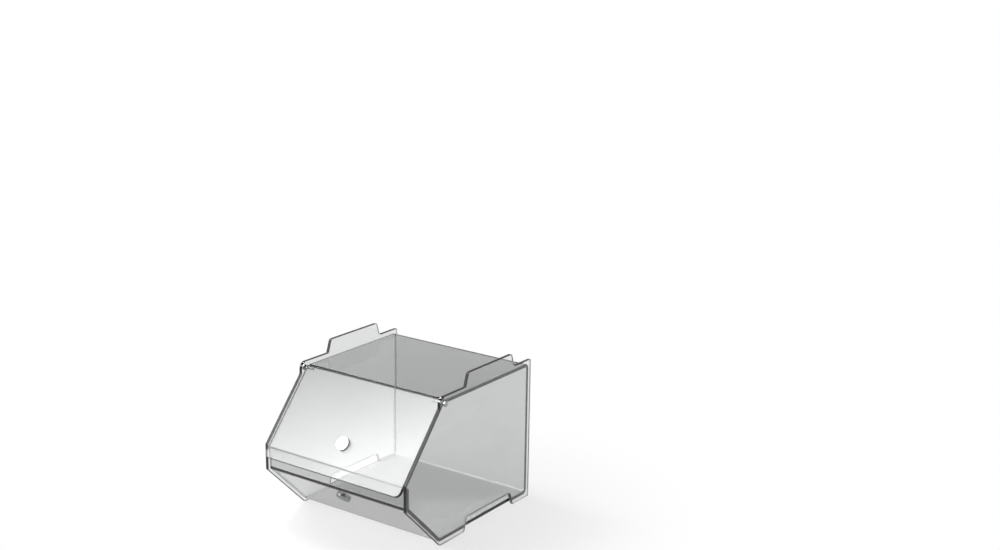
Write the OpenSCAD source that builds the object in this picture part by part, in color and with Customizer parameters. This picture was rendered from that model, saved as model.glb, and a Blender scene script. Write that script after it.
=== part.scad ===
// Clear stackable bin with a top-hung door, made of cemented sheet.
// Millimetres, +Z up, -Y is the front. The origin is the bottom centre of the closed bin.

/* [Overall] */
// Width over the side panels
bin_w = 300; // [240:2:360]
// Depth of the side panels, nose to back edge
bin_d = 340; // [320:2:380]
// Height of the side panels' top edge, one step of a stack
rim_h = 252; // [244:2:280]
// Thickness of the clear sheet
sheet_t = 6; // [5:0.5:7]

/* [Side panels] */
// Height of the nose's lower corner
nose_low = 87; // [78:1:92]
// Height of the nose's upper corner
nose_high = 131.5; // [126:0.5:138]
// Distance of the feet's front end behind the nose
foot_set = 87; // [80:1:94]
// Distance of the hinge pins behind the nose
hinge_set = 97.5; // [92:0.5:104]
// Radius of the ear around each hinge pin, also the pin's depth below the top edge
ear_r = 12; // [10:0.5:14]
// Radius where the ear runs into the sloped edge
ear_blend_r = 8; // [4:0.5:10]
// Radius of the panels' outer corners
corner_r = 3; // [1:0.5:6]

/* [Stacking tabs] */
// Height of each tab above the top edge
tab_h = 23; // [18:0.5:26]
// Distance of the tab's front end behind the nose
tab_set = 153; // [130:1:165]
// Length of the tab at its foot
tab_len = 138; // [100:1:145]
// How far each end of the tab leans inwards
tab_rake = 8; // [4:0.5:12]
// Radius of the tab's upper corners
tab_r = 5; // [2:0.5:8]
// Radius in the corners at the tab's foot
tab_foot_r = 2; // [1:0.5:3]
// Clearance between a tab and the notch of the bin above
notch_gap = 1; // [0.5:0.1:2]

/* [Bent body] */
// Inside radius of the bends
bend_r = 3; // [2:0.5:6]
// Depth of the top face below the side panels' top edge
top_drop = 7; // [5:0.5:10]
// Height of the floor's underside above the feet
floor_lift = 6; // [4:0.5:8]
// Distance of the back face inside the side panels' back edge
back_inset = 4; // [2:0.5:8]
// Distance of the lower slope inside the side panels' edge
slope_inset = 4; // [2:0.5:8]
// Distance of the nose face inside the side panels' edge
nose_inset = 4; // [2:0.5:8]
// Distance of the top's front edge behind the hinge line
lid_set = 7; // [6.8:0.1:12]

/* [Door] */
// Depth of the door's face below the sloped edges beside it
door_recess = 1; // [0.5:0.1:2.5]
// Length of the door beyond the nose's upper corner
door_lip = 20; // [14:0.5:26]
// Gap at each end of the door
door_side_gap = 1; // [0.5:0.1:3]
// Length of the door beyond the hinge line
door_tail = 5; // [4:0.1:5]
// Radius of the door's lower corners
door_corner_r = 10; // [4:0.5:16]
// Gap between the closed door and the nose's top edge
door_stop_gap = 0.5; // [0.3:0.1:1.5]
// Rounding of the free sheet edges
edge_r = 1; // [0.5:0.1:2]

/* [Hinge pins] */
// Diameter of the pin
pin_d = 3; // [2:0.1:3.5]
// Running clearance around the pin
pin_fit = 0.05; // [0.02:0.01:0.09]
// Depth of the pin in the door's end
pin_depth = 16; // [10:1:25]
// Diameter of the pin's head
pin_head_d = 9.5; // [7:0.5:14]
// Height of the pin's head
pin_head_t = 3; // [2:0.1:4]
// Gap under the pin's head
pin_head_gap = 0.4; // [0.3:0.1:1]

/* [Discs] */
// Diameter of the pull disc and the catch disc
disc_d = 24.5; // [20:0.5:30]
// Height of the discs
disc_t = 4; // [3.5:0.1:6]
// Distance of the pull disc above the nose's upper corner
knob_up = 37; // [30:0.5:60]
// Bevel of the edges of discs and heads
bevel = 0.6; // [0.3:0.1:0.8]

/* [Disc screws] */
// Diameter of the screws
screw_d = 4; // [3:0.5:5]
// Length of the screw in the disc
screw_bite = 2.5; // [2:0.1:2.8]
// Clearance around the screw
screw_fit = 0.1; // [0.05:0.01:0.3]
// Diameter of the screw head
screw_head_d = 8; // [7:0.5:10]
// Height of the screw head
screw_head_t = 2.5; // [2.2:0.1:4]
// Width across flats of the socket in the screw head
socket_w = 2.5; // [2:0.1:3]
// Depth of the socket
socket_t = 1.4; // [1:0.1:1.6]

/* [Hidden] */
$fn = 72;
// Straight steps in each rounded corner of an outline
arc_steps = 8;
// Room left at the end of a blind hole
hole_end = 0.5;
// Length by which a cutting tool runs out of the solid
cut = 1;

inner_w = bin_w - 2 * sheet_t;
door_w = inner_w - 2 * door_side_gap;
hinge_z = rim_h - ear_r;

// The sloped edge passes the hinge line at edge_off and meets the nose's upper corner
edge_off = sheet_t / 2 + door_recess;
slope_rise = hinge_z - nose_high;
nose_dist = norm([hinge_set, slope_rise]);
slope = atan2(slope_rise, hinge_set) + asin(edge_off / nose_dist);
slope_len = sqrt(nose_dist * nose_dist - edge_off * edge_off);
door_len = slope_len + door_lip;
knob_dist = slope_len - knob_up;

// The door's lower edge is the foremost point
lip_reach = door_len * cos(slope) + sheet_t / 2 * sin(slope) - hinge_set;
nose_y = (lip_reach - bin_d) / 2;
back_y = nose_y + bin_d;
hinge_y = nose_y + hinge_set;
foot_y = nose_y + foot_set;
ear_y = hinge_y - ear_r;
ear_foot_z = nose_high + (ear_y - nose_y) * tan(slope);

tab_y0 = nose_y + tab_set;
tab_y1 = tab_y0 + tab_len;
notch_y0 = tab_y0 - notch_gap;
notch_y1 = tab_y1 + notch_gap;
notch_h = tab_h + notch_gap;
notch_rake = tab_rake * notch_h / tab_h;
notch_mouth_r = tab_foot_r + notch_gap;

// Faces of the bent body: the bend radius is bend_r inside and bend_r plus the sheet outside
bend_out = bend_r + sheet_t;
lid_y = hinge_y + lid_set;
lid_z = rim_h - top_drop;
wall_y = back_y - back_inset;
face_y = nose_y + nose_inset;
face_top = hinge_z + ((face_y - hinge_y) * sin(slope) - sheet_t / 2 - door_stop_gap) / cos(slope);
low = atan2(nose_low, foot_set);
slope_in = slope_inset + sheet_t;

// The catch disc sits where the pull disc of the bin below arrives when its door is swung up
catch_up = knob_dist - (hinge_y - foot_y) * cos(low) - ear_r * sin(low);

// Lower slope at a distance inside the side panels' edge: depth at a height, height at a depth
function slope_y(z, inset) = foot_y + (inset - z * cos(low)) / sin(low);
function slope_z(y, inset) = (inset - (y - foot_y) * sin(low)) / cos(low);

function flat(p) = [p[0], p[1]];
function unit(v) = v / norm(v);

// Arc of radius r in the corner b between a and c
function arc_at(a, b, c, r) =
    let (u = unit(a - b), v = unit(c - b), half = acos(u * v) / 2)
    let (m = b + unit(u + v) * r / sin(half))
    let (p = b - m + u * r / tan(half), q = b - m + v * r / tan(half))
    let (from = atan2(p[1], p[0]), turn = sign(cross(p, q)) * (180 - 2 * half) / arc_steps)
    [for (i = [0 : arc_steps]) m + r * [cos(from + i * turn), sin(from + i * turn)]];

// Outline with rounded corners, each corner given as [across, up, radius]
function rounded(c) =
    let (n = len(c))
    [for (i = [0 : n - 1])
        each arc_at(flat(c[(i + n - 1) % n]), flat(c[i]), flat(c[(i + 1) % n]), c[i][2])];

module side_outline() {
    polygon(rounded([
        [nose_y, nose_low, corner_r],
        [nose_y, nose_high, corner_r],
        [ear_y, ear_foot_z, ear_blend_r],
        [ear_y, rim_h, ear_r],
        [tab_y0, rim_h, tab_foot_r],
        [tab_y0 + tab_rake, rim_h + tab_h, tab_r],
        [tab_y1 - tab_rake, rim_h + tab_h, tab_r],
        [tab_y1, rim_h, tab_foot_r],
        [back_y, rim_h, corner_r],
        [back_y, 0, corner_r],
        [notch_y1, 0, notch_mouth_r],
        [notch_y1 - notch_rake, notch_h, tab_r],
        [notch_y0 + notch_rake, notch_h, tab_r],
        [notch_y0, 0, notch_mouth_r],
        [foot_y, 0, corner_r]
    ]));
}

module wrap_outline() {
    polygon(rounded([
        [lid_y, lid_z, edge_r],
        [wall_y, lid_z, bend_out],
        [wall_y, floor_lift, bend_out],
        [slope_y(floor_lift, slope_inset), floor_lift, bend_out],
        [face_y, slope_z(face_y, slope_inset), bend_out],
        [face_y, face_top, edge_r],
        [face_y + sheet_t, face_top, edge_r],
        [face_y + sheet_t, slope_z(face_y + sheet_t, slope_in), bend_r],
        [slope_y(floor_lift + sheet_t, slope_in), floor_lift + sheet_t, bend_r],
        [wall_y - sheet_t, floor_lift + sheet_t, bend_r],
        [wall_y - sheet_t, lid_z - sheet_t, bend_r],
        [lid_y, lid_z - sheet_t, edge_r]
    ]));
}

module door_outline() {
    polygon(rounded([
        [-door_w / 2, -door_len, door_corner_r],
        [door_w / 2, -door_len, door_corner_r],
        [door_w / 2, door_tail, edge_r],
        [-door_w / 2, door_tail, edge_r]
    ]));
}

// Sheet of a side-view outline from x across a width w
module across(x, w) {
    translate([x, 0, 0]) rotate([90, 0, 90]) linear_extrude(w) children();
}

// Places a part at the hinge line: Y runs up the closed door, Z out of its face
module on_door() {
    translate([0, hinge_y, hinge_z]) rotate([slope, 0, 0]) children();
}

// Places a part on the lower slope's outer face at the catch disc, Z out of the face
module on_slope() {
    translate([
        0,
        foot_y - catch_up * cos(low) + slope_inset * sin(low),
        catch_up * sin(low) + slope_inset * cos(low)
    ])
        rotate([180 - low, 0, 0]) children();
}

module side_panel(x) {
    difference() {
        across(x, sheet_t) side_outline();
        translate([x - cut, hinge_y, hinge_z]) rotate([0, 90, 0])
            cylinder(r = pin_d / 2 + pin_fit, h = sheet_t + 2 * cut);
    }
}

// Headed pin, head outwards: side is 1 for the right and -1 for the left
module hinge_pin(side) {
    head_z = pin_depth + door_side_gap + sheet_t + pin_head_gap;
    translate([side * (door_w / 2 - pin_depth), hinge_y, hinge_z]) rotate([0, side * 90, 0])
        rotate_extrude() polygon([
            [0, 0],
            [pin_d / 2, 0],
            [pin_d / 2, head_z],
            [pin_head_d / 2, head_z],
            [pin_head_d / 2, head_z + pin_head_t - bevel],
            [pin_head_d / 2 - bevel, head_z + pin_head_t],
            [0, head_z + pin_head_t]
        ]);
}

// Flat disc standing on Z = 0 with a blind hole for its screw
module disc() {
    difference() {
        rotate_extrude() polygon([
            [0, 0],
            [disc_d / 2, 0],
            [disc_d / 2, disc_t - bevel],
            [disc_d / 2 - bevel, disc_t],
            [0, disc_t]
        ]);
        translate([0, 0, -cut])
            cylinder(r = screw_d / 2 + screw_fit, h = screw_bite + hole_end + cut);
    }
}

// Socket screw through the sheet below Z = 0, its head on the sheet's inner face
module disc_screw() {
    translate([0, 0, -sheet_t]) difference() {
        rotate_extrude() polygon([
            [0, -screw_head_t],
            [screw_head_d / 2 - bevel, -screw_head_t],
            [screw_head_d / 2, bevel - screw_head_t],
            [screw_head_d / 2, 0],
            [screw_d / 2, 0],
            [screw_d / 2, sheet_t + screw_bite],
            [0, sheet_t + screw_bite]
        ]);
        translate([0, 0, -screw_head_t - cut])
            cylinder(d = socket_w / cos(30), h = socket_t + cut, $fn = 6);
    }
}

// Hole for a disc screw through the sheet below Z = 0
module screw_hole() {
    translate([0, 0, -sheet_t - cut])
        cylinder(r = screw_d / 2 + screw_fit, h = sheet_t + 2 * cut);
}

// Places a part on the closed door's outer face at the pull disc
module at_knob() {
    on_door() translate([0, -knob_dist, sheet_t / 2]) children();
}

module side_panel_left() {
    color([0.80, 0.83, 0.85, 0.5]) side_panel(-bin_w / 2);
}

module side_panel_right() {
    color([0.80, 0.83, 0.85, 0.5]) side_panel(inner_w / 2);
}

module body_wrap() {
    color([0.78, 0.82, 0.84, 0.5]) difference() {
        across(-inner_w / 2, inner_w) wrap_outline();
        on_slope() screw_hole();
    }
}

module door_panel() {
    color([0.90, 0.92, 0.93, 0.5]) difference() {
        on_door() translate([0, 0, -sheet_t / 2]) linear_extrude(sheet_t) door_outline();
        for (side = [-1, 1])
            translate([side * (door_w / 2 + cut), hinge_y, hinge_z]) rotate([0, -side * 90, 0])
                cylinder(r = pin_d / 2 + pin_fit, h = pin_depth + hole_end + cut);
        at_knob() screw_hole();
    }
}

module hinge_pin_left() {
    color([0.75, 0.75, 0.76]) hinge_pin(-1);
}

module hinge_pin_right() {
    color([0.75, 0.75, 0.76]) hinge_pin(1);
}

module door_knob() {
    color([0.82, 0.82, 0.83]) at_knob() disc();
}

module door_knob_screw() {
    color([0.60, 0.60, 0.61]) at_knob() disc_screw();
}

module catch_disc() {
    color([0.82, 0.82, 0.83]) on_slope() disc();
}

module catch_disc_screw() {
    color([0.60, 0.60, 0.61]) on_slope() disc_screw();
}

side_panel_left();
side_panel_right();
body_wrap();
door_panel();
hinge_pin_left();
hinge_pin_right();
door_knob();
door_knob_screw();
catch_disc();
catch_disc_screw();
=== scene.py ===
import math

import bmesh
import bpy
from mathutils import Matrix, Vector


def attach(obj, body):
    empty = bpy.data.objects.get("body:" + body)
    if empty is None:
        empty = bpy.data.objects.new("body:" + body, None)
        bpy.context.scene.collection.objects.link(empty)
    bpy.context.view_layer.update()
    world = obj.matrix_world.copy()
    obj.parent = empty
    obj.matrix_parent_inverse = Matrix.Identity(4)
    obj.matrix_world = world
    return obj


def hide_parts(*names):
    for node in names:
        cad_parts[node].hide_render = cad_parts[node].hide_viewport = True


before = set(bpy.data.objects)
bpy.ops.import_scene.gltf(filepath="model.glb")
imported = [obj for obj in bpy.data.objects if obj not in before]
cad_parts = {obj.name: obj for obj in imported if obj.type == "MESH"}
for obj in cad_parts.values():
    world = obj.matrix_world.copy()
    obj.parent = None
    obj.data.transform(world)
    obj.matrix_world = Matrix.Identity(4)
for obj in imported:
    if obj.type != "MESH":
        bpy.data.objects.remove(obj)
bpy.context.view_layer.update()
scene = bpy.context.scene
MM = 0.001

# Sizes in millimetres, as in the part's source

SHEET = 6.0
BIN_W = 300.0
BIN_D = 340.0
RIM_H = 252.0

# Side panels
NOSE_LOW = 87.0
NOSE_HIGH = 131.5
FOOT_SET = 87.0
HINGE_SET = 97.5
EAR_R = 12.0
EAR_BLEND_R = 8.0
CORNER_R = 3.0
TAB_H = 23.0
TAB_SET = 153.0
TAB_LEN = 138.0
TAB_RAKE = 8.0
TAB_R = 5.0
TAB_FOOT_R = 2.0
NOTCH_GAP = 1.0

# Bent body
BEND_R = 3.0
TOP_DROP = 7.0
FLOOR_LIFT = 6.0
LID_SET = 7.0
BACK_INSET = 4.0
SLOPE_INSET = 4.0
NOSE_INSET = 4.0

# Door
DOOR_RECESS = 1.0
DOOR_LIP = 20.0
DOOR_SIDE_GAP = 1.0
DOOR_TAIL = 5.0
DOOR_CORNER_R = 10.0
DOOR_STOP_GAP = 0.5
EDGE_R = 1.0

# Hinge pins, discs and screws
PIN_D = 3.0
PIN_FIT = 0.05
PIN_DEPTH = 16.0
PIN_HEAD_D = 9.5
PIN_HEAD_T = 3.0
PIN_HEAD_GAP = 0.4
DISC_D = 24.5
DISC_T = 4.0
KNOB_UP = 37.0
SCREW_D = 4.0
SCREW_BITE = 2.5
SCREW_FIT = 0.1
SCREW_HEAD_D = 8.0
SCREW_HEAD_T = 2.5
SOCKET_W = 2.5
SOCKET_T = 1.4
HOLE_END = 0.5

# Sizes in millimetres that only the look has

# Bevels on the edges of the flat sheets and of the bent body, and the cement line between that body
# and each side panel
SHEET_BEVEL = 0.8
BODY_BEVEL = 0.4
CEMENT_LINE = 0.06
# Rounded rims of the turned pieces, and how far their polished end faces are domed
PIN_TIP_R = 0.3
PIN_HEAD_BACK_R = 0.3
PIN_RIM_R = 0.8
PIN_CROWN = 0.3
DISC_BACK_R = 0.2
DISC_RIM_R = 0.7
DISC_CROWN = 0.12
SCREW_RIM_R = 0.8
SCREW_TIP_R = 0.3
# How far a drill runs out of the solid
DRILL_PAST = 1.0

# Fineness of the round shapes
CORNER_STEPS = 10
ARC_STEPS = 6
CROWN_STEPS = 5
BEVEL_STEPS = 2
PIN_SIDES = 72
DISC_SIDES = 96
SCREW_SIDES = 60
HOLE_SIDES = 48
SOCKET_SIDES = 6
# Degrees from which an edge is bevelled, and from which it is shaded sharp on sheet and on metal
BEVEL_FROM = 60
SHEET_SHARP = 50
METAL_SHARP = 35
# How much more a large face counts than a small one in the shading
FLAT_WEIGHT = 80

# Which faces count as cut edges. A face lies flat in its sheet if its normal is this close to the
# sheet's own, and belongs to an end of the bent body if its normal has this much of X.
FLAT_FACE = 0.95
END_FACE = 0.05
# Millimetres of sheet that the front edges of the bent body take in, and of outline round the ear
EDGE_REACH = 0.9
EAR_REACH = 0.5
# How much of a milled edge the side panels' edges are, from 0 to 1; the same share sets how much
# painted shade darkens them
PANEL_EDGE_AND_SHADE = 0.85

# Places worked out from the sizes

INNER_W = BIN_W - 2 * SHEET
DOOR_W = INNER_W - 2 * DOOR_SIDE_GAP
HINGE_Z = RIM_H - EAR_R
EDGE_OFF = SHEET / 2 + DOOR_RECESS
NOSE_DIST = math.hypot(HINGE_SET, HINGE_Z - NOSE_HIGH)
SLOPE = math.atan2(HINGE_Z - NOSE_HIGH, HINGE_SET) + math.asin(EDGE_OFF / NOSE_DIST)
SLOPE_LEN = math.sqrt(NOSE_DIST**2 - EDGE_OFF**2)
DOOR_LEN = SLOPE_LEN + DOOR_LIP
KNOB_DIST = SLOPE_LEN - KNOB_UP
LIP_REACH = DOOR_LEN * math.cos(SLOPE) + SHEET / 2 * math.sin(SLOPE) - HINGE_SET
NOSE_Y = (LIP_REACH - BIN_D) / 2
BACK_Y = NOSE_Y + BIN_D
HINGE_Y = NOSE_Y + HINGE_SET
FOOT_Y = NOSE_Y + FOOT_SET
EAR_Y = HINGE_Y - EAR_R
EAR_FOOT_Z = NOSE_HIGH + (EAR_Y - NOSE_Y) * math.tan(SLOPE)
TAB_Y0 = NOSE_Y + TAB_SET
TAB_Y1 = TAB_Y0 + TAB_LEN
NOTCH_H = TAB_H + NOTCH_GAP
NOTCH_RAKE = TAB_RAKE * NOTCH_H / TAB_H
NOTCH_Y0 = TAB_Y0 - NOTCH_GAP
NOTCH_Y1 = TAB_Y1 + NOTCH_GAP
LID_Y = HINGE_Y + LID_SET
LID_Z = RIM_H - TOP_DROP
WALL_Y = BACK_Y - BACK_INSET
FACE_Y = NOSE_Y + NOSE_INSET
FACE_DROP = (FACE_Y - HINGE_Y) * math.sin(SLOPE) - SHEET / 2 - DOOR_STOP_GAP
FACE_TOP = HINGE_Z + FACE_DROP / math.cos(SLOPE)
LOW = math.atan2(NOSE_LOW, FOOT_SET)
CATCH_UP = KNOB_DIST - (HINGE_Y - FOOT_Y) * math.cos(LOW) - EAR_R * math.sin(LOW)
PIN_HEAD_AT = PIN_DEPTH + DOOR_SIDE_GAP + SHEET + PIN_HEAD_GAP
SCREW_END = -SHEET - SCREW_HEAD_T

AT_HINGE = Matrix.Translation((0, HINGE_Y * MM, HINGE_Z * MM))
PIN_LINE = AT_HINGE @ Matrix.Rotation(math.pi / 2, 4, "Y")
ON_DOOR = AT_HINGE @ Matrix.Rotation(SLOPE, 4, "X")
AT_KNOB = ON_DOOR @ Matrix.Translation((0, -KNOB_DIST * MM, SHEET / 2 * MM))
ON_SLOPE = Matrix.Translation((
    0,
    (FOOT_Y - CATCH_UP * math.cos(LOW) + SLOPE_INSET * math.sin(LOW)) * MM,
    (CATCH_UP * math.sin(LOW) + SLOPE_INSET * math.cos(LOW)) * MM,
)) @ Matrix.Rotation(math.pi - LOW, 4, "X")
# Side view to the bin's frame: outline across is Y, outline up is Z, depth is X
SIDE_VIEW = Matrix(((0, 0, 1, 0), (1, 0, 0, 0), (0, 1, 0, 0), (0, 0, 0, 1)))


# Shapes


def slope_y(z, inset):
    return FOOT_Y + (inset - z * math.cos(LOW)) / math.sin(LOW)


def slope_z(y, inset):
    return (inset - (y - FOOT_Y) * math.sin(LOW)) / math.cos(LOW)


def rounded(corners):
    """Outline with rounded corners, each given as (across, up, radius)."""
    points = []
    for i, (x, y, r) in enumerate(corners):
        corner = Vector((x, y))
        before = Vector(corners[i - 1][:2])
        after = Vector(corners[(i + 1) % len(corners)][:2])
        u, v = (before - corner).normalized(), (after - corner).normalized()
        half = u.angle(v) / 2
        middle = corner + (u + v).normalized() * (r / math.sin(half))
        run = r / math.tan(half)
        p, q = corner + u * run - middle, corner + v * run - middle
        start = math.atan2(p.y, p.x)
        turn = math.copysign(math.pi - 2 * half, p.x * q.y - p.y * q.x)
        for k in range(CORNER_STEPS + 1):
            t = start + turn * k / CORNER_STEPS
            points.append((middle.x + r * math.cos(t), middle.y + r * math.sin(t)))
    return points


def arc_profile(corners):
    """Lathe profile with rounded corners: a corner with a radius becomes an arc."""
    points = []
    for i, (r, z, e) in enumerate(corners):
        if not e:
            points.append((r, z))
            continue
        corner = Vector((r, z))
        u = (Vector(corners[i - 1][:2]) - corner).normalized()
        v = (Vector(corners[i + 1][:2]) - corner).normalized()
        for k in range(ARC_STEPS + 1):
            t = k / ARC_STEPS * math.pi / 2
            p = corner + u * e * (1 - math.sin(t)) + v * e * (1 - math.cos(t))
            points.append((p.x, p.y))
    return points


def crown(radius, height, rise):
    """Lathe points of a slightly domed end face, from near its rim to the axis."""
    rings = [radius * (1 - k / CROWN_STEPS) for k in range(1, CROWN_STEPS + 1)]
    return [(r, height - rise * (r / radius) ** 2, 0) for r in rings]


def new_object(name, bm):
    bmesh.ops.recalc_face_normals(bm, faces=bm.faces)
    mesh = bpy.data.meshes.new(name)
    bm.to_mesh(mesh)
    bm.free()
    obj = bpy.data.objects.new(name, mesh)
    scene.collection.objects.link(obj)
    return obj


def prism(name, outline, depth, matrix):
    """Solid of an outline in millimetres, from depth[0] to depth[1] along its own Z."""
    bm = bmesh.new()
    low, high = (
        [bm.verts.new(matrix @ Vector((a * MM, b * MM, d * MM))) for a, b in outline]
        for d in depth
    )
    bm.faces.new(low)
    bm.faces.new(high)
    n = len(outline)
    for i in range(n):
        j = (i + 1) % n
        bm.faces.new((low[i], low[j], high[j], high[i]))
    return new_object(name, bm)


def lathe(name, profile, matrix, sides):
    """Solid of revolution about its own Z, with the profile as (radius, height) in millimetres from
    axis to axis."""
    bm = bmesh.new()
    ends = [bm.verts.new(matrix @ Vector((0, 0, profile[k][1] * MM))) for k in (0, -1)]
    rings = []
    for r, z in profile[1:-1]:
        ring = []
        for k in range(sides):
            t = 2 * math.pi * k / sides
            point = Vector((r * math.cos(t) * MM, r * math.sin(t) * MM, z * MM))
            ring.append(bm.verts.new(matrix @ point))
        rings.append(ring)
    for k in range(sides):
        j = (k + 1) % sides
        bm.faces.new((ends[0], rings[0][k], rings[0][j]))
        bm.faces.new((ends[1], rings[-1][k], rings[-1][j]))
        for a, b in zip(rings, rings[1:]):
            bm.faces.new((a[k], a[j], b[j], b[k]))
    return new_object(name, bm)


def cutter(radius, low, high, matrix, sides=HOLE_SIDES):
    """Solid that cuts a hole from low to high along the matrix's Z."""
    profile = [(0, low), (radius, low), (radius, high), (0, high)]
    return lathe("cutter", profile, matrix, sides)


def finish_mesh(obj, cutters=(), bevel=0.0, sharp=SHEET_SHARP):
    """Bevels and drills the solid, and gives it smooth shading that keeps its flat faces flat."""
    if bevel:
        mod = obj.modifiers.new("bevel", "BEVEL")
        mod.width = bevel * MM
        mod.segments = BEVEL_STEPS
        mod.limit_method = "ANGLE"
        mod.angle_limit = math.radians(BEVEL_FROM)
    for tool in cutters:
        mod = obj.modifiers.new("drill", "BOOLEAN")
        mod.operation = "DIFFERENCE"
        mod.solver = "EXACT"
        mod.object = tool
    bpy.context.view_layer.update()
    depsgraph = bpy.context.evaluated_depsgraph_get()
    made = bpy.data.meshes.new_from_object(obj.evaluated_get(depsgraph))
    obj.modifiers.clear()
    obj.data = made
    for tool in cutters:
        bpy.data.objects.remove(tool)
    for poly in made.polygons:
        poly.use_smooth = True
    made.set_sharp_from_angle(angle=math.radians(sharp))
    mod = obj.modifiers.new("weighted", "WEIGHTED_NORMAL")
    mod.keep_sharp = True
    mod.weight = FLAT_WEIGHT
    depsgraph = bpy.context.evaluated_depsgraph_get()
    obj.data = bpy.data.meshes.new_from_object(obj.evaluated_get(depsgraph))
    obj.modifiers.clear()


def mark_cut_edges_and_shade(obj, test):
    """Stores how much each face is a milled sheet edge, from 0 to 1, for the material, which makes
    these faces rough and darkens them with painted shade.
    """
    layer = obj.data.attributes.new("cut_edge_shade", "FLOAT", "FACE")
    shares = [float(test(p.normal, p.center / MM)) for p in obj.data.polygons]
    layer.data.foreach_set("value", shares)


# Materials

ACRYLIC_IOR = 1.49
# Colour that the sheets absorb towards, at the density that each of them has. This grey absorption,
# # far stronger than clear acrylic's, is painted shade for the darker surroundings seen through the
# # sheets, and each piece has its own amount of it
SHEET_SHADE_TINT = (0.50, 0.505, 0.505)
SIDE_SHADE_DENSITY = 60.0
BODY_SHADE_DENSITY = 100.0
DOOR_SHADE_DENSITY = 100.0
# Least and greatest roughness of a milled edge, and of one with cement on it
MILLED_ROUGH = (0.38, 0.52)
CEMENTED_ROUGH = (0.10, 0.24)
# Nearly all values of a noise texture lie between these
NOISE_LOW = 0.3
NOISE_HIGH = 0.7


class Nodes:
    """The node tree of a material, world or lamp, with short calls to add and join nodes."""

    def __init__(self, owner):
        owner.use_nodes = True
        self.owner = owner
        self.tree = owner.node_tree
        self.shader = self.tree.nodes.get("Principled BSDF")
        self.output = self.tree.nodes.get("Material Output")

    def add(self, kind, inputs=None, **settings):
        node = self.tree.nodes.new(kind)
        for key, value in settings.items():
            setattr(node, key, value)
        for key, value in (inputs or {}).items():
            if isinstance(value, bpy.types.NodeSocket):
                self.tree.links.new(value, node.inputs[key])
            else:
                node.inputs[key].default_value = value
        return node

    def noise(self, scale, detail=2.0, stretch=None, distortion=0.0):
        place = self.add("ShaderNodeTexCoord").outputs["Object"]
        if stretch:
            mapping = self.add("ShaderNodeMapping", {"Vector": place, "Scale": stretch})
            place = mapping.outputs["Vector"]
        inputs = {"Vector": place, "Scale": scale, "Detail": detail, "Distortion": distortion}
        return self.add("ShaderNodeTexNoise", inputs).outputs["Fac"]

    def ramp(self, value, low, high):
        node = self.add("ShaderNodeValToRGB", {"Fac": value})
        first, last = node.color_ramp.elements
        first.position = NOISE_LOW
        last.position = NOISE_HIGH
        first.color = (*low, 1)
        last.color = (*high, 1)
        return node.outputs["Color"]

    def scale(self, value, low, high, start=NOISE_LOW, end=NOISE_HIGH, **settings):
        inputs = {
            "Value": value,
            "From Min": start,
            "From Max": end,
            "To Min": low,
            "To Max": high,
        }
        return self.add("ShaderNodeMapRange", inputs, **settings).outputs["Result"]

    def mix(self, factor, a, b, kind="FLOAT"):
        node = self.add("ShaderNodeMix", data_type=kind)
        sockets = [s for s in node.inputs if s.enabled]
        for value, socket in zip((factor, a, b), sockets):
            self.tree.links.new(value, socket)
        return next(s for s in node.outputs if s.enabled)

    def combine(self, operation, a, b):
        return self.add("ShaderNodeMath", {0: a, 1: b}, operation=operation).outputs["Value"]

    def seen_rays(self):
        """1 for camera, glossy and transmission rays, 0 for the rays that light a surface."""
        path = self.add("ShaderNodeLightPath").outputs
        both = self.combine("MAXIMUM", path["Is Camera Ray"], path["Is Glossy Ray"])
        return self.combine("MAXIMUM", both, path["Is Transmission Ray"])

    def join(self, value, socket):
        self.tree.links.new(value, self.shader.inputs[socket])

    def bump(self, height, strength, distance):
        inputs = {"Height": height, "Strength": strength, "Distance": distance}
        self.join(self.add("ShaderNodeBump", inputs).outputs["Normal"], "Normal")


def acrylic(name, density, edge_rough):
    """Clear neutral acrylic sheet: polished faces with faint wipe marks, and milled cut edges whose
    roughness lies between the two values of edge_rough. The grey that its volume absorbs and the
    dark grey of its cut edges are painted shade."""
    m = Nodes(bpy.data.materials.new(name))
    m.shader.inputs["Transmission Weight"].default_value = 1.0
    m.shader.inputs["IOR"].default_value = ACRYLIC_IOR
    edge = m.add("ShaderNodeAttribute", attribute_name="cut_edge_shade").outputs["Fac"]
    face_tones = (0.955, 0.96, 0.96), (0.985, 0.988, 0.988)
    # The cut edges' dark grey is painted shade, standing in for the dark look that refraction gives
    # a sheet's edges
    edge_shade_tones = (0.17, 0.175, 0.175), (0.25, 0.255, 0.255)
    clear = m.ramp(m.noise(scale=7, detail=3), *face_tones)
    cut = m.ramp(m.noise(scale=40, detail=3), *edge_shade_tones)
    m.join(m.mix(edge, clear, cut, "RGBA"), "Base Color")
    wipes = m.noise(scale=14, detail=4, stretch=(1.0, 0.35, 1.0), distortion=0.6)
    wiped = m.scale(wipes, low=0.004, high=0.03)
    milled = m.scale(m.noise(scale=300, stretch=(1.0, 1.0, 6.0)), *edge_rough)
    m.join(m.mix(edge, wiped, milled), "Roughness")
    m.bump(m.noise(scale=9, detail=1), strength=0.05, distance=0.0006)
    volume = m.add("ShaderNodeVolumeAbsorption", {"Color": (*SHEET_SHADE_TINT, 1), "Density": density})
    m.tree.links.new(volume.outputs["Volume"], m.output.inputs["Volume"])
    return m.owner


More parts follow.
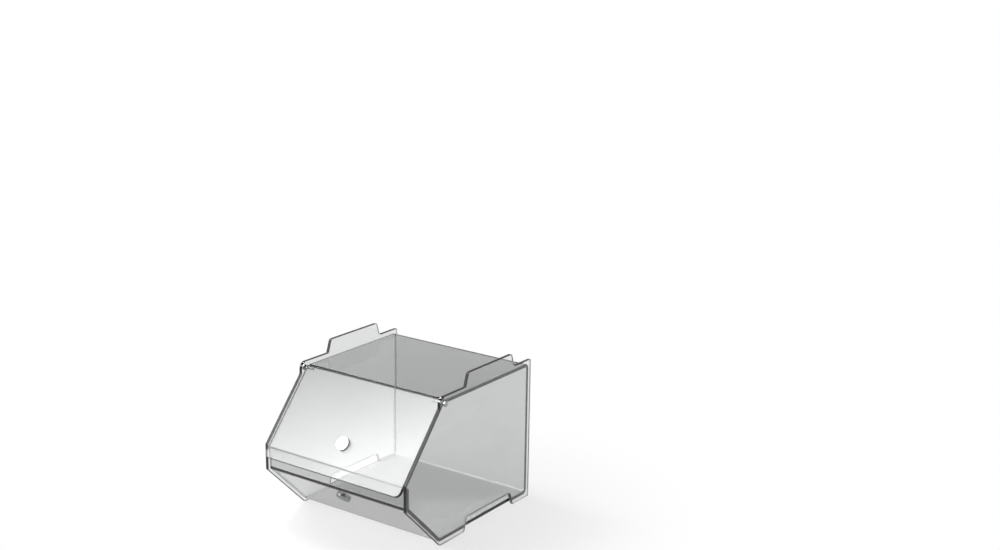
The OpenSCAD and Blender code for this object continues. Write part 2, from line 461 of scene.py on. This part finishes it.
def polished_metal(name):
    """Bright plated metal with hairline polish marks. Its base tones and specular tint are set
    darker than the plated metal's own, as painted shade for the dark surroundings that it mirrors.
    """
    m = Nodes(bpy.data.materials.new(name))
    m.shader.inputs["Metallic"].default_value = 1.0
    # Specular tint and base tones below the plated metal's own are painted shade
    m.shader.inputs["Specular Tint"].default_value = (0.5, 0.5, 0.5, 1)
    tones = (0.35, 0.355, 0.36), (0.43, 0.435, 0.44)
    m.join(m.ramp(m.noise(scale=60, detail=3), *tones), "Base Color")
    hairlines = m.noise(scale=220, detail=3, stretch=(1.0, 12.0, 1.0))
    m.join(m.scale(hairlines, low=0.06, high=0.14), "Roughness")
    m.bump(m.noise(scale=500, stretch=(1.0, 10.0, 1.0)), strength=0.05, distance=0.00005)
    return m.owner


def screw_steel(name):
    """Plain turned steel."""
    m = Nodes(bpy.data.materials.new(name))
    m.shader.inputs["Metallic"].default_value = 1.0
    tones = (0.45, 0.45, 0.46), (0.62, 0.62, 0.63)
    m.join(m.ramp(m.noise(scale=180, detail=3), *tones), "Base Color")
    m.join(m.scale(m.noise(scale=420), low=0.22, high=0.38), "Roughness")
    m.bump(m.noise(scale=900, detail=1), strength=0.1, distance=0.00005)
    return m.owner


# Copies of one acrylic that differ in how much painted shade their volume absorbs, and in edge
# roughness
SIDE_SHADED_ACRYLIC = acrylic("side_acrylic", SIDE_SHADE_DENSITY, MILLED_ROUGH)
BODY_SHADED_ACRYLIC = acrylic("body_acrylic", BODY_SHADE_DENSITY, CEMENTED_ROUGH)
DOOR_SHADED_ACRYLIC = acrylic("door_acrylic", DOOR_SHADE_DENSITY, MILLED_ROUGH)
CHROME = polished_metal("polished_metal")
STEEL = screw_steel("screw_steel")


def dress(obj, node, body, material):
    obj.name = "look_" + node
    obj.data.materials.clear()
    obj.data.materials.append(material)
    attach(obj, body)
    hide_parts(node)


# Side panels

side_outline = rounded([
    (NOSE_Y, NOSE_LOW, CORNER_R),
    (NOSE_Y, NOSE_HIGH, CORNER_R),
    (EAR_Y, EAR_FOOT_Z, EAR_BLEND_R),
    (EAR_Y, RIM_H, EAR_R),
    (TAB_Y0, RIM_H, TAB_FOOT_R),
    (TAB_Y0 + TAB_RAKE, RIM_H + TAB_H, TAB_R),
    (TAB_Y1 - TAB_RAKE, RIM_H + TAB_H, TAB_R),
    (TAB_Y1, RIM_H, TAB_FOOT_R),
    (BACK_Y, RIM_H, CORNER_R),
    (BACK_Y, 0, CORNER_R),
    (NOTCH_Y1, 0, TAB_FOOT_R + NOTCH_GAP),
    (NOTCH_Y1 - NOTCH_RAKE, NOTCH_H, TAB_R),
    (NOTCH_Y0 + NOTCH_RAKE, NOTCH_H, TAB_R),
    (NOTCH_Y0, 0, TAB_FOOT_R + NOTCH_GAP),
    (FOOT_Y, 0, CORNER_R),
])


def panel_edge(normal, centre):
    """The straight edges are milled and get painted shade, and the rounded ear is polished and gets
    none.
    """
    on_ear = math.hypot(centre.y - HINGE_Y, centre.z - HINGE_Z) < EAR_R + EAR_REACH
    return 0.0 if on_ear or abs(normal.x) > FLAT_FACE else PANEL_EDGE_AND_SHADE


for node, x in (("side_panel_left", -BIN_W / 2), ("side_panel_right", INNER_W / 2)):
    panel = prism(node, side_outline, (x, x + SHEET), SIDE_VIEW)
    bore = cutter(PIN_D / 2 + PIN_FIT, x - DRILL_PAST, x + SHEET + DRILL_PAST, PIN_LINE)
    finish_mesh(panel, [bore], SHEET_BEVEL)
    mark_cut_edges_and_shade(panel, panel_edge)
    dress(panel, node, "bin", SIDE_SHADED_ACRYLIC)

# Bent body

bend_out, slope_in = BEND_R + SHEET, SLOPE_INSET + SHEET
wrap_outline = rounded([
    (LID_Y, LID_Z, EDGE_R),
    (WALL_Y, LID_Z, bend_out),
    (WALL_Y, FLOOR_LIFT, bend_out),
    (slope_y(FLOOR_LIFT, SLOPE_INSET), FLOOR_LIFT, bend_out),
    (FACE_Y, slope_z(FACE_Y, SLOPE_INSET), bend_out),
    (FACE_Y, FACE_TOP, EDGE_R),
    (FACE_Y + SHEET, FACE_TOP, EDGE_R),
    (FACE_Y + SHEET, slope_z(FACE_Y + SHEET, slope_in), BEND_R),
    (slope_y(FLOOR_LIFT + SHEET, slope_in), FLOOR_LIFT + SHEET, BEND_R),
    (WALL_Y - SHEET, FLOOR_LIFT + SHEET, BEND_R),
    (WALL_Y - SHEET, LID_Z - SHEET, BEND_R),
    (LID_Y, LID_Z - SHEET, EDGE_R),
])


def body_edge(normal, centre):
    """The two ends are milled, and so are the front edges of the top and the nose; all of them get
    painted shade.
    """
    in_front = centre.y < LID_Y + EDGE_REACH and centre.z > FACE_TOP - EDGE_REACH
    return abs(normal.x) > END_FACE or in_front


body_end = INNER_W / 2 - CEMENT_LINE
wrap = prism("body_wrap", wrap_outline, (-body_end, body_end), SIDE_VIEW)
bore = cutter(SCREW_D / 2 + SCREW_FIT, -SHEET - DRILL_PAST, DRILL_PAST, ON_SLOPE)
finish_mesh(wrap, [bore], BODY_BEVEL)
mark_cut_edges_and_shade(wrap, body_edge)
dress(wrap, "body_wrap", "bin", BODY_SHADED_ACRYLIC)

# Door

door_outline = rounded([
    (-DOOR_W / 2, -DOOR_LEN, DOOR_CORNER_R),
    (DOOR_W / 2, -DOOR_LEN, DOOR_CORNER_R),
    (DOOR_W / 2, DOOR_TAIL, EDGE_R),
    (-DOOR_W / 2, DOOR_TAIL, EDGE_R),
])
door_normal = (ON_DOOR.to_3x3() @ Vector((0, 0, 1))).normalized()


def door_edge(normal, _):
    """All edges are milled and get painted shade."""
    return abs(normal.dot(door_normal)) < FLAT_FACE


door = prism("door_panel", door_outline, (-SHEET / 2, SHEET / 2), ON_DOOR)
bores = [cutter(SCREW_D / 2 + SCREW_FIT, -SHEET - DRILL_PAST, DRILL_PAST, AT_KNOB)]
for side in (-1, 1):
    inner = side * (DOOR_W / 2 - PIN_DEPTH - HOLE_END)
    outer = side * (DOOR_W / 2 + DRILL_PAST)
    bores.append(cutter(PIN_D / 2 + PIN_FIT, min(inner, outer), max(inner, outer), PIN_LINE))
finish_mesh(door, bores, SHEET_BEVEL)
mark_cut_edges_and_shade(door, door_edge)
dress(door, "door_panel", "door", DOOR_SHADED_ACRYLIC)

# Hinge pins

for node, side in (("hinge_pin_left", -1), ("hinge_pin_right", 1)):
    tip = Matrix.Translation((side * (DOOR_W / 2 - PIN_DEPTH) * MM, HINGE_Y * MM, HINGE_Z * MM))
    pin = lathe(node, arc_profile([
        (0, 0, 0),
        (PIN_D / 2, 0, PIN_TIP_R),
        (PIN_D / 2, PIN_HEAD_AT, 0),
        (PIN_HEAD_D / 2, PIN_HEAD_AT, PIN_HEAD_BACK_R),
        (PIN_HEAD_D / 2, PIN_HEAD_AT + PIN_HEAD_T - PIN_CROWN, PIN_RIM_R),
        *crown(PIN_HEAD_D / 2 - PIN_RIM_R, PIN_HEAD_AT + PIN_HEAD_T, PIN_CROWN),
    ]), tip @ Matrix.Rotation(side * math.pi / 2, 4, "Y"), PIN_SIDES)
    finish_mesh(pin, sharp=METAL_SHARP)
    dress(pin, node, "door", CHROME)

# Discs and their screws

for node, body, place in (("door_knob", "door", AT_KNOB), ("catch_disc", "bin", ON_SLOPE)):
    disc = lathe(node, arc_profile([
        (0, 0, 0),
        (DISC_D / 2, 0, DISC_BACK_R),
        (DISC_D / 2, DISC_T - DISC_CROWN, DISC_RIM_R),
        *crown(DISC_D / 2 - DISC_RIM_R, DISC_T, DISC_CROWN),
    ]), place, DISC_SIDES)
    bore = cutter(SCREW_D / 2 + SCREW_FIT, -DRILL_PAST, SCREW_BITE + HOLE_END, place)
    finish_mesh(disc, [bore], sharp=METAL_SHARP)
    dress(disc, node, body, CHROME)

    screw = lathe(node + "_screw", arc_profile([
        (0, SCREW_END, 0),
        (SCREW_HEAD_D / 2, SCREW_END, SCREW_RIM_R),
        (SCREW_HEAD_D / 2, -SHEET, 0),
        (SCREW_D / 2, -SHEET, 0),
        (SCREW_D / 2, SCREW_BITE, SCREW_TIP_R),
        (0, SCREW_BITE, 0),
    ]), place, SCREW_SIDES)
    socket_r = SOCKET_W / math.sqrt(3)
    socket = cutter(socket_r, SCREW_END - DRILL_PAST, SCREW_END + SOCKET_T, place, SOCKET_SIDES)
    finish_mesh(screw, [socket], sharp=METAL_SHARP)
    dress(screw, node + "_screw", body, STEEL)

# Floor, light and camera, in metres

FLOOR_R = 4.0
FLOOR_SIDES = 96
FLOOR_TONES = (0.90, 0.90, 0.90), (0.92, 0.92, 0.92)
FLOOR_ROUGH = 0.9
# Seen rays find the floor lifted to white: by the least share up to the near distance from the
# bin's middle, and by the greatest from the far distance on
LIFT_LEAST = 0.73
LIFT_MOST = 1.0
LIFT_NEAR = 0.12
LIFT_FAR = 0.55
# Strength of the white world for the rays that light, and for seen rays below and above a band of
# heights, given as the upward part of their direction
WORLD_LIGHT = 0.20
WORLD_BELOW = 1.0
WORLD_ABOVE = 0.35
BAND_LOW = 0.20
BAND_HIGH = 0.34
WHITE = (1, 1, 1, 1)
# How far down the door from its hinge the lamps aim, in millimetres
AIM_DOWN = 80.0
# The camera that was fitted to the photo, with its angles in degrees and its lens in millimetres
CAMERA_AT = (1.444698, -1.768931, 1.010479)
AZIMUTH = 35.005
ELEVATION = 14.663
ROLL = 0.844
LENS = 51.62
SENSOR_W = 36.0
CLIP_NEAR = 0.05
CLIP_FAR = 100.0


def pale_floor(name):
    """Pale matt floor that seen rays find lifted to white."""
    m = Nodes(bpy.data.materials.new(name))
    m.join(m.ramp(m.noise(scale=2.5), *FLOOR_TONES), "Base Color")
    m.shader.inputs["Roughness"].default_value = FLOOR_ROUGH
    m.shader.inputs["Specular IOR Level"].default_value = 0.0
    place = m.add("ShaderNodeTexCoord").outputs["Object"]
    reach = m.add("ShaderNodeVectorMath", {0: place}, operation="LENGTH").outputs["Value"]
    fade = {"start": LIFT_NEAR, "end": LIFT_FAR, "interpolation_type": "SMOOTHSTEP"}
    lift = m.scale(reach, LIFT_LEAST, LIFT_MOST, **fade)
    share = m.combine("MULTIPLY", m.seen_rays(), lift)
    white = m.add("ShaderNodeEmission", {"Color": WHITE, "Strength": 1.0}).outputs["Emission"]
    inputs = {0: share, 1: m.shader.outputs["BSDF"], 2: white}
    lifted = m.add("ShaderNodeMixShader", inputs).outputs["Shader"]
    m.tree.links.new(lifted, m.output.inputs["Surface"])
    return m.owner


bm = bmesh.new()
bmesh.ops.create_circle(bm, cap_ends=True, radius=FLOOR_R, segments=FLOOR_SIDES)
floor = new_object("floor", bm)
floor.data.materials.append(pale_floor("floor_pale"))

scene.world = bpy.data.worlds.new("studio")
sky = Nodes(scene.world)
view = sky.add("ShaderNodeTexCoord").outputs["Generated"]
height = sky.add("ShaderNodeSeparateXYZ", {"Vector": view}).outputs["Z"]
backdrop = sky.scale(height, WORLD_BELOW, WORLD_ABOVE, BAND_LOW, BAND_HIGH)
levels = {"A": WORLD_LIGHT, "B": backdrop, "Factor": sky.seen_rays()}
level = sky.add("ShaderNodeMix", levels, data_type="FLOAT").outputs["Result"]
background = sky.tree.nodes["Background"].inputs
sky.tree.links.new(level, background["Strength"])
background["Color"].default_value = WHITE

door_middle = ON_DOOR @ Vector((0, -AIM_DOWN * MM, SHEET / 2 * MM))


def softbox(name, direction, size, radiance, distance=1.9, turn=0, slide=(0.0, 0.0),
            edge=0.15, top=0.15, dim_side=1.0):
    """Rectangular lamp that faces the middle of the door; radiance 1 is white. It is turned by so
    many degrees and slid in its own plane. It fades out over the share of its size that edge gives
    at its sides and foot, and top at its head. dim_side is the share of its light that is left at
    its first side, from which it grows evenly to the other."""
    light = bpy.data.lights.new(name, "AREA")
    light.shape = "RECTANGLE"
    light.size, light.size_y = size
    light.energy = radiance * math.pi * size[0] * size[1]
    m = Nodes(light)
    place = m.add("ShaderNodeNewGeometry").outputs["Parametric"]
    spot = m.add("ShaderNodeSeparateXYZ", {"Vector": place}).outputs
    dim = m.scale(spot["Y"], 1.0, 0.0, 1.0 - top, 1.0)
    for axis, least, start, end in (
        ("Y", 0.0, 0.0, edge),
        ("X", 0.0, 0.0, edge),
        ("X", 0.0, 1.0, 1.0 - edge),
        ("X", dim_side, 0.0, 1.0),
    ):
        dim = m.combine("MULTIPLY", m.scale(spot[axis], least, 1.0, start, end), dim)
    m.tree.links.new(dim, m.tree.nodes["Emission"].inputs["Strength"])
    obj = bpy.data.objects.new(name, light)
    scene.collection.objects.link(obj)
    away = Vector(direction).normalized()
    facing = away.to_track_quat("Z", "Y").to_matrix().to_4x4()
    facing = facing @ Matrix.Rotation(math.radians(turn), 4, "Z")
    stand = Matrix.Translation(door_middle + away * distance)
    obj.matrix_world = stand @ facing @ Matrix.Translation((*slide, 0))


softbox("key", (-0.616, -0.462, 0.637), (0.8, 0.52), radiance=11.6, turn=60, slide=(0.0, -0.04),
        edge=0.12, top=0.68, dim_side=0.42)
softbox("left", (-0.86, 0.08, 0.50), (0.8, 0.8), radiance=12.0)
softbox("front", (-0.555, -0.666, 0.50), (0.5, 0.5), radiance=26.0)
softbox("top", (-0.593, 0.10, 0.798), (0.6, 0.66), radiance=23.0, distance=1.98)

camera_data = bpy.data.cameras.new("camera")
camera = bpy.data.objects.new("camera", camera_data)
scene.collection.objects.link(camera)
scene.camera = camera
camera_data.sensor_fit = "HORIZONTAL"
camera_data.sensor_width = SENSOR_W
camera_data.lens = LENS
camera_data.clip_start, camera_data.clip_end = CLIP_NEAR, CLIP_FAR
azimuth, elevation, roll = (math.radians(a) for a in (AZIMUTH, ELEVATION, ROLL))
level_part = math.cos(elevation)
back = Vector((
    math.sin(azimuth) * level_part,
    -math.cos(azimuth) * level_part,
    math.sin(elevation),
))
right = Vector((math.cos(azimuth), math.sin(azimuth), 0))
up = back.cross(right)
across = right * math.cos(roll) + up * math.sin(roll)
upward = up * math.cos(roll) - right * math.sin(roll)
turned = Matrix((across, upward, back)).transposed().to_4x4()
camera.matrix_world = Matrix.Translation(CAMERA_AT) @ turned

scene.view_settings.view_transform = "Standard"
